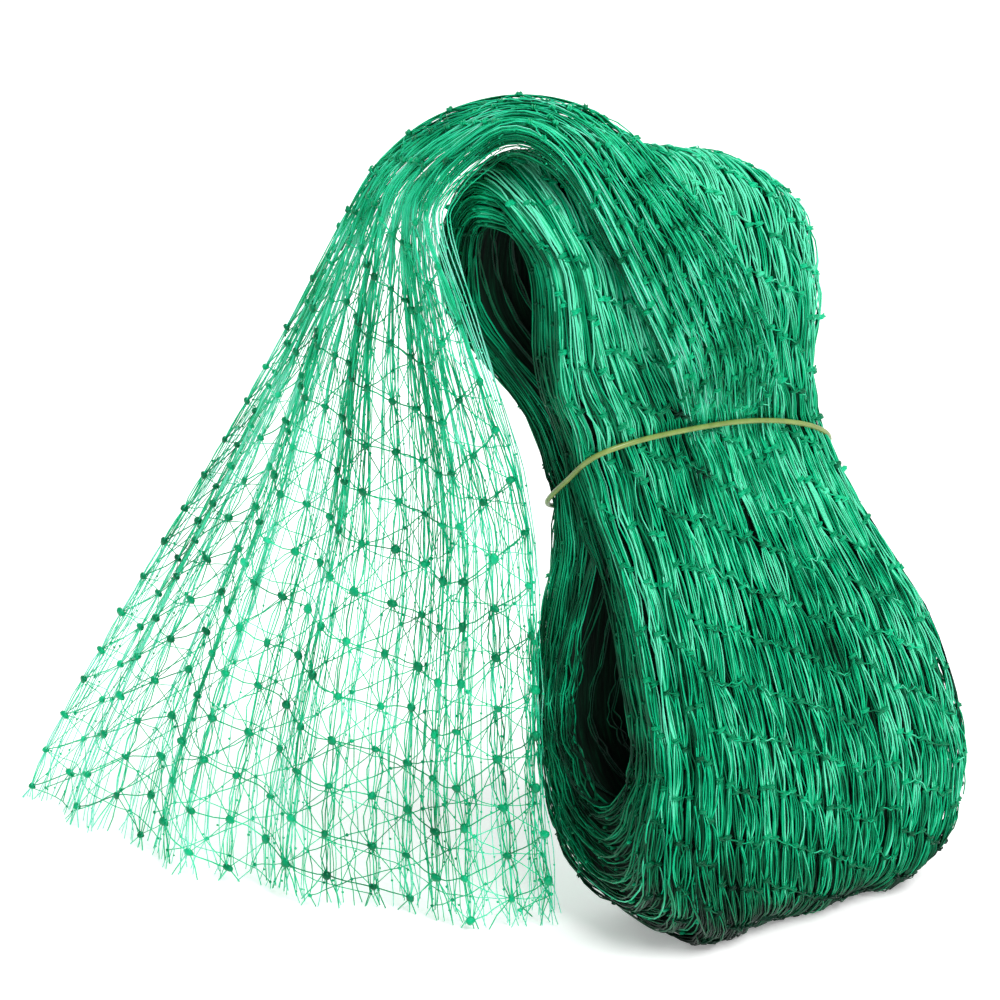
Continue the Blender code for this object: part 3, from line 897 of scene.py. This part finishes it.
def thread_lines(starts, stops, steps, slack, wave):
    """Lines from knot to knot, and along each a wave to one side and how far it hangs slack."""
    at = np.linspace(0, 1, steps)
    line = starts[:, None] + (stops - starts)[:, None] * at[:, None]
    count = len(starts)
    phase = CHANCE.uniform(0, 1, (count, 1))
    swing = np.sin(math.tau * (at * CHANCE.uniform(0.5, 1.5, (count, 1)) + phase)) * np.sin(math.pi * at)
    return line, swing * CHANCE.uniform(0.3, 1.0, (count, 1)) * wave, np.sin(math.pi * at) * slack


def roll_thread_parts(knots, share, radius, tone, slack, wave):
    """Cross threads between some neighbouring knots of the top layer that lie in one chain."""
    lift, longest_drop, deepest_step = 0.0008, 0.35 * MESH_SIZE, 0.05
    turn = knots[0]
    shown = CHANCE.uniform(0, 1, (turn.shape[0] - 1, turn.shape[1])) < share
    starts, stops = (np.stack([values[side] for values in knots], -1)[shown]
                     for side in (slice(None, -1), slice(1, None)))
    near = np.abs(stops[:, 0] - starts[:, 0]) * LOOP_LENGTH < longest_drop
    near &= np.abs(sheet_deep(stops[:, 1]) - sheet_deep(starts[:, 1])) < deepest_step
    line, swing, sag = thread_lines(starts[near], stops[near], 7, slack, wave)
    turn, across, below = np.moveaxis(line, -1, 0)
    points, normals = net_surface(turn + swing / LOOP_LENGTH, across, below - lift - sag)
    tones = CHANCE.normal(tone, 0.08, (len(points), 1)) + painted_shading(points, normals, across)
    return tube_mesh(points, normals, radius, tones)


def stray_parts(knots, count, tone):
    """Strands that cross over from one bundle to the next."""
    lift, radius, slack, wave = 0.0004, 0.00030, 0.0010, 0.0006
    columns, rows = knots[0].shape
    first = CHANCE.randint(0, columns - 1, count)
    row = CHANCE.randint(0, rows - 2, count)
    side = CHANCE.randint(0, 2, count)
    values = np.stack(knots, -1)
    starts = values[first + side, row]
    stops = values[first + 1 - side, row + 1]
    line, swing, sag = thread_lines(starts, stops, 7, slack, wave)
    turn, across, below = np.moveaxis(line, -1, 0)
    points, normals = net_surface(turn, across + swing / ROLL_WIDTH, below - lift - sag)
    tones = CHANCE.normal(tone, 0.10, (count, 1)) + painted_shading(points, normals, across)
    return tube_mesh(points, normals, radius, tones)


def roll_knot_parts(knots, tone):
    """The top layer's knots: thread wrapped over a bundle, about a small lump."""
    lift, sizes, shape, width = 0.0002, (0.0011, 0.0015), (1.4, 0.75, 0.8), 0.0016
    turn, across, below = knots
    places = knot_places(turn, across, below - lift)
    tones = CHANCE.normal(tone, BUNDLE_TONE_SCATTER, turn.size) + painted_shading(*places[:2], across.reshape(-1))
    lumps = lump_mesh(*places, CHANCE.uniform(*sizes, turn.size), tones, 1, shape)
    return [lumps, *wrap_parts(*places, width, tones)]


def make_core(material):
    """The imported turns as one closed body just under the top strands."""
    steps, faces_across, edge_steps, tone = 128, 40, 10, 0.2
    inset, skin, innermost = 0.045, 0.0022, 0.97
    section_size = (0.14, 0.02)
    outer = [(inset + (1 - 2 * inset) * i / faces_across, sunk_at(i / faces_across))
             for i in range(faces_across + 1)]
    first, last = outer[0][1], outer[-1][1]
    far = [(1 - inset, last + (innermost - last) * i / edge_steps) for i in range(1, edge_steps)]
    inner = [(across, innermost) for across, _ in reversed(outer)]
    near = [(inset, innermost + (first - innermost) * i / edge_steps) for i in range(1, edge_steps)]
    section = np.array(outer + far + inner + near, float)
    turn = np.arange(steps)[:, None] / steps
    proud = np.where(np.arange(len(section)) <= faces_across, -skin, 0.0)
    points, _ = roll_surface(turn, section[None, :, 0], section[None, :, 1], proud[None])
    made = joined("net_core", [closed_body(points, tone)], material)
    around = np.append(0, np.cumsum(np.linalg.norm(np.diff(section * section_size, axis=0), axis=1)))
    ring, place = np.indices((steps, len(section)))
    u = around[place][..., None] + np.array((0, 1, 1, 0)) * around[-1] / len(section)
    v = (ring[..., None] + np.array((0, 0, 1, 1))) * LOOP_LENGTH / steps
    places = made.data.uv_layers.new(name="Strands")
    places.data.foreach_set("uv", np.stack([u, v], -1).astype(np.float32).ravel())
    return made


def make_roll(yarn, core):
    """The wound netting in place of the roll's plain solid."""
    layers = named(ROLL_LAYER_COLUMNS, ROLL_LAYERS)
    knots = [roll_knots(layer) for layer in layers]
    strands = [roll_layer_parts(layer, at) for layer, at in zip(layers, knots)]
    body = make_core(core)
    pieces = [
        body,
        joined("net_roll_strands", strands[:1], yarn),
        joined("net_roll_under_strands", strands[1:], yarn),
        joined("net_roll_edges", [*end_parts(False), *end_parts(True), *lining_parts()], yarn),
        joined("net_roll_knots", [
            *roll_knot_parts(knots[0], 0.56),
            roll_thread_parts(knots[0], 0.90, 0.00034, 0.54, 0.0002, 0.0005),
            roll_thread_parts(knots[0], 0.25, 0.00022, 0.90, 0.0010, 0.0016),
            stray_parts(knots[0], 420, 0.92),
        ], yarn),
    ]
    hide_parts("roll")


# ---- The loose end's netting

def loose_climb(layer, across):
    """How far up from an even row a loose layer's knots are, from the near edge to the far one."""
    climb = np.interp(across, *(column(ROW_COLUMNS, ROWS, name) for name in ROW_COLUMNS))
    if layer["slant"]:
        climb = layer["slant"] * across + INNER_CLIMB * climb
    return climb


def loose_knots(layer):
    """Where a loose layer's knots are, by column and row: up from the hem, and across."""
    columns, front = layer["columns"], layer["name"] == "front"
    across = np.linspace(*LOOSE_EDGES, columns)
    across = across * (1 - (COLUMN_SPREAD if front else INNER_COLUMN_SPREAD) * (1 - across))
    longest = HEM_LENGTHS[:, -1].max()
    rows = np.arange(-ROWS_BEYOND, int(longest / MESH_SIZE) + ROWS_BEYOND)
    start = rows[None] * MESH_SIZE + CHANCE.uniform(0, MESH_SIZE)
    jumps = CHANCE.uniform(-0.5, 0.5, BUNDLES + 1) * MESH_SIZE
    jump = jumps[np.round(across * BUNDLES).astype(int)][:, None]
    share = bundling(start)
    distance = (start + loose_climb(layer, across)[:, None] * (1 - share) + jump * share
                + CHANCE.normal(0, ROW_SCATTER, (columns, len(rows))))
    down = 1 - np.clip(distance / DRIFT_TO, 0, 1)
    across = across[:, None] + layer["drift"] * (down - DRIFT_MIDDLE)
    if not front:
        across = across + waves(across, INNER_WAVES, INNER_WAVE) * down
    wander = GATHERED_WANDER + (1 - GATHERED_WANDER) * down
    across = across + CHANCE.normal(0, layer["wander"], across.shape) * wander
    return distance, folded_in(across)


def folded_in(across):
    """Places across the loose end, with what would pass an edge turned back from it."""
    return 1 - np.abs(1 - np.abs(across))


def loose_top(across):
    """How far up from the hem the loose end's upper end is."""
    return np.interp(across, np.linspace(0, 1, LOOSE_LINES), HEM_LENGTHS[:, -1])


def loose_strand_parts(layer, distance, across):
    """A loose layer's strands, from their cut ends below the lowest knots up to the loose end's root."""
    rows = distance.shape[1]
    along, place = [], []
    for knots_along, knots_across in zip(distance, across):
        lowest = knots_along[knots_along > EDGE_MARGIN].min()
        for strand in range(layer["strands"]):
            slot = strand - (layer["strands"] - 1) / 2
            end = np.clip(lowest - CHANCE.uniform(*CUT_ENDS), 0.0, CUT_HIGHEST)
            way = np.interp(np.linspace(0, 1, STRAND_POINTS), POINT_SHARES,
                            (end, *POINT_DISTANCES, loose_top(knots_across.mean())))
            row = np.interp(way, knots_along, np.arange(rows))
            bows = CHANCE.normal(slot * BOW_APART, BOW_SCATTER * layer["wander"], rows)
            bow = bows[np.floor(row).astype(int)] * arched(row - np.floor(row))
            flare = CHANCE.normal(slot * TUFT_APART, TUFT_SCATTER) / HEM_WIDTH
            tuft = np.maximum(lowest - way, 0) * flare
            along.append(way)
            place.append(np.interp(way, knots_along, knots_across) + bow + tuft)
    along, place = np.array(along), folded_in(np.array(place))
    each = (len(along), 1)
    share = bundling(along)
    proud = CHANCE.normal(0, LAYER_UNEVENNESS, each)
    lift = (1 - layer["side"]) * CHANCE.normal(GATHERED_LIFT, GATHERED_SCATTER, each)
    points, normals = loose_points(along, place, layer["side"] + lift * share, proud)
    # Where the net is gathered: painted shade on the inner layers and where it faces up, and a painted
    # highlight along the near edge.
    gathered = np.interp(layer["side"], TONED_SIDES, (GATHERED_TONE, GATHERED_FRONT_TONE))
    tones = CHANCE.normal(layer["tone"], LOOSE_TONE_SCATTER, each)
    tones = tones - NEAR_EDGE_SHADE * (NEAR_EDGE_MIDDLE - place) * (1 - share)
    tones = tones + GATHERED_EDGE_SHEEN * part_way(place, EDGE_SHEEN_WIDTH, 0) * share
    deeper = CREST_SHADE * np.maximum(normals[..., 2], 0) ** 2 + CHANCE.normal(0, GATHERED_TONE_SCATTER, each)
    tones = tones + (gathered - layer["tone"] - deeper) * share
    return tube_mesh(points, normals, layer["radius"] * (1 - GATHERED_THINNING * share), tones)


def loose_shown(distance, across):
    """Which knots are far enough from the hem and from the upper end."""
    return (distance > EDGE_MARGIN) & (distance < loose_top(across) - EDGE_MARGIN)


def loose_thread_parts(layer, distance, across, family):
    """A loose layer's cross threads. Family 0 follows its rows, and families 1 and -1 cross its cells."""
    slack, wave, crossing_radius, crossing_tone, row_tone = 0.0004, 0.0007, 0.72, -0.10, -0.20
    columns, rows = distance.shape
    rising = np.diff(loose_climb(layer, np.linspace(0, 1, columns))) > 0
    step = np.where(rising, -1, 1) * family
    first, row = np.indices((columns - 1, rows - 2))
    start = first, row + 1
    stop = first + 1, row + 1 + step[:, None]
    shown = loose_shown(distance, across)
    both = shown[start] & shown[stop]
    starts, stops = (np.stack([distance[ends], across[ends]], -1)[both] for ends in (start, stop))
    line, swing, sag = thread_lines(starts, stops, 6, slack, wave)
    points, normals = loose_points(line[..., 0] + swing - sag, line[..., 1], layer["side"])
    radius = layer["radius"] * (crossing_radius if family else 1.0)
    tone = layer["tone"] + (crossing_tone if family else row_tone)
    return tube_mesh(points, normals, radius, CHANCE.normal(tone, 0.06, (len(points), 1)))


def loose_knot_parts(layer, distance, across):
    """A loose layer's knots: lumps in the open net, and wrapped bars where it is gathered."""
    shape, width, ahead, tone, wrapped_from = (1.0, 0.9, 0.8), 0.0011, 0.002, -0.35, 0.3
    front = layer["name"] == "front"
    shown = loose_shown(distance, across)
    distance, across = distance[shown], across[shown]
    points, normals = loose_points(distance, across, layer["side"])
    above, _ = loose_points(distance + ahead, across, layer["side"])
    runs = above - points
    tones = CHANCE.normal(layer["tone"] + tone, 0.05, len(points))
    sizes = layer["knot"] * CHANCE.uniform(0.82, 1.12, len(points)) * np.clip(1.2 - distance / 0.6, 0.6, 1.0)
    parts = [lump_mesh(points, normals, runs, sizes, tones, 2 if front else 1, shape)]
    if front:
        high = bundling(distance) > wrapped_from
        parts += wrap_parts(points[high], normals[high], runs[high], width, tones[high])
    return parts


def crest_parts():
    """More of the gathered net's strands, between its layers where it goes over the top."""
    radius, swing, wave, crowding = 0.00028, 0.02, 0.1, 1.6
    each = (CREST_STRANDS, 1)
    across = CHANCE.uniform(0.0, 1.0, each) ** crowding
    along = np.linspace(CREST_FROM, CREST_TO, 50) + CHANCE.uniform(-0.02, 0.02, each)
    swings = CHANCE.normal(0, swing, each) * np.sin(math.tau * (along / wave + CHANCE.uniform(0, 1, each)))
    side = CHANCE.uniform(-0.95, 0.5, each)
    points, normals = loose_points(along, folded_in(across + swings), side)
    return tube_mesh(points, normals, radius, CHANCE.normal(GATHERED_TONE, 0.12, each))


def loose_layer_parts(number, layer):
    """One layer's strands and threads, and its knots."""
    distance, across = loose_knots(layer)
    families = [0] * (number < THREADED_LAYERS) + [1, -1] * (layer["name"] == "front")
    net = [loose_strand_parts(layer, distance, across)]
    net += [loose_thread_parts(layer, distance, across, family) for family in families]
    return net, loose_knot_parts(layer, distance, across)


def make_loose_end(yarn):
    """The loose end's netting in place of its plain solid."""
    layers = named(LOOSE_LAYER_COLUMNS, LOOSE_LAYERS)
    nets, knots = zip(*(loose_layer_parts(number, layer) for number, layer in enumerate(layers)))
    front = joined("net_loose_end", sum(nets[:THREADED_LAYERS], []), yarn)
    back = joined("net_loose_back", [crest_parts(), *sum(nets[THREADED_LAYERS:], [])], yarn)
    knotted = joined("net_loose_knots", sum(knots, []), yarn)
    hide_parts("loose_end")


# ---- The rubber band

def band_line():
    """The middle of the rubber all the way round."""
    angle = math.tau * np.arange(BAND_STEPS * CURVE_STEPS) / (BAND_STEPS * CURVE_STEPS)
    power = 2 / BAND_SQUARENESS
    cos, sin = np.cos(angle), np.sin(angle)
    lengthwise, outward = np.sign(cos) * np.abs(cos) ** power, np.sign(sin) * np.abs(sin) ** power
    height = BAND_HEIGHT + BAND_TILT * outward - BAND_DROOP * np.maximum(lengthwise, 0) ** 2
    height = height + BAND_ARCH * (1 - lengthwise ** 2) * np.maximum(outward, 0)
    near, far = table_at(END_COLUMNS, ENDS, ("near", "far"), height)
    front, back = table_at(LOOP_COLUMNS, LOOP, ("front", "back"), height)
    deep = np.where(outward > 0, front, back)
    clearance = np.where(lengthwise < 0, BAND_NEAR_CLEARANCE, BAND_CLEARANCE)
    along = (near + far) / 2 + ((far - near) / 2 + clearance) * lengthwise
    line = (FOOT_CENTRE - CENTRE + ALONG * along[:, None] + OUT * ((deep + BAND_CLEARANCE) * outward)[:, None]
            + UP * height[:, None])
    closed = np.vstack([line, line[:1]])
    lengths = np.append(0, np.cumsum(np.linalg.norm(np.diff(closed, axis=0), axis=1)))
    even = np.linspace(0, lengths[-1], BAND_STEPS, endpoint=False)
    return np.stack([np.interp(even, lengths, closed[:, i]) for i in range(3)], -1)


def make_band(rubber):
    """The rubber band: a round tube along its line."""
    line = band_line()
    run = unit(np.roll(line, -1, axis=0) - np.roll(line, 1, axis=0))
    side = unit(np.cross(UP, run))
    top = np.cross(run, side)
    turn = math.tau * np.arange(BAND_SIDES) / BAND_SIDES
    points = line[:, None] + BAND_RADIUS * (side[:, None] * np.cos(turn)[:, None]
                                            + top[:, None] * np.sin(turn)[:, None])
    made = joined("rubber_band", [closed_body(points, 0.5)], rubber)
    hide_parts("band")


# ---- Floor, light and camera

def make_floor():
    """A wide pale floor that glows a little."""
    made, tree, shader = new_material("pale_floor")
    feed(tree, shader, {
        "Base Color": (0.90, 0.90, 0.90, 1.0),
        "Emission Color": (1.0, 1.0, 1.0, 1.0),
        "Emission Strength": 0.28,
        "Roughness": 0.8,
    })
    reach = 6.0
    corners = [(-reach, -reach, 0), (reach, -reach, 0), (reach, reach, 0), (-reach, reach, 0)]
    mesh = bpy.data.meshes.new("floor")
    mesh.from_pydata(corners, [], [(0, 1, 2, 3)])
    mesh.materials.append(made)
    floor = bpy.data.objects.new("floor", mesh)
    bpy.context.scene.collection.objects.link(floor)


def make_light():
    """A bright wall behind, a dimmer room in front, and a soft sun from the front right."""
    world = bpy.data.worlds.new("studio")
    world.use_nodes = True
    tree = world.node_tree
    direction = added(tree, "TexCoord", {}, "Generated")
    backward = added(tree, "SeparateXYZ", {"Vector": direction}, "Y")
    strength = spread(tree, backward, 0.36, 1.10, -0.30, 0.60)
    feed(tree, tree.nodes["Background"], {"Color": (1.0, 1.0, 1.0, 1.0), "Strength": strength})
    bpy.context.scene.world = world
    sun = bpy.data.lights.new("sun", "SUN")
    sun.energy = 2.9
    sun.angle = math.radians(28)
    made = bpy.data.objects.new("sun", sun)
    made.rotation_euler = (math.radians(40), 0.0, math.radians(28))
    bpy.context.scene.collection.objects.link(made)
    bpy.context.scene.view_settings.view_transform = "Standard"


def make_camera():
    """The camera stands 0.85 m off and looks 14.4 degrees down, through an 85 mm lens."""
    camera = bpy.data.cameras.new("camera")
    camera.lens = 85.0
    camera.sensor_width = 36.0
    camera.clip_start = 0.01
    made = bpy.data.objects.new("camera", camera)
    distance, tilt, middle = 0.85, math.radians(14.4), 0.155
    made.location = (-CENTRE[0], -CENTRE[1] - distance * math.cos(tilt), middle + distance * math.sin(tilt))
    made.rotation_euler = (math.pi / 2 - tilt, 0.0, 0.0)
    bpy.context.scene.collection.objects.link(made)
    bpy.context.scene.camera = made


def main():
    make_camera()
    yarn = yarn_material("net_yarn", [
        (0.00, (0.000, 0.008, 0.003)),
        (0.28, (0.000, 0.080, 0.030)),
        (0.55, (0.000, 0.270, 0.112)),
        (0.80, (0.004, 0.560, 0.262)),
        (1.00, (0.150, 0.840, 0.540)),
    ], (0.28, 0.45), 0.0)
    # The loose end's yarn: the same yarn in paler tones, painted light on its thin strands.
    loose_yarn = yarn_material("loose_yarn", [
        (0.00, (0.000, 0.020, 0.007)),
        (0.28, (0.000, 0.150, 0.056)),
        (0.55, (0.002, 0.400, 0.172)),
        (0.80, (0.030, 0.700, 0.370)),
        (1.00, (0.260, 0.920, 0.660)),
    ], (0.30, 0.50), 0.35)
    make_roll(yarn, core_material())
    make_loose_end(loose_yarn)
    make_band(rubber_material())
    make_floor()
    make_light()


main()
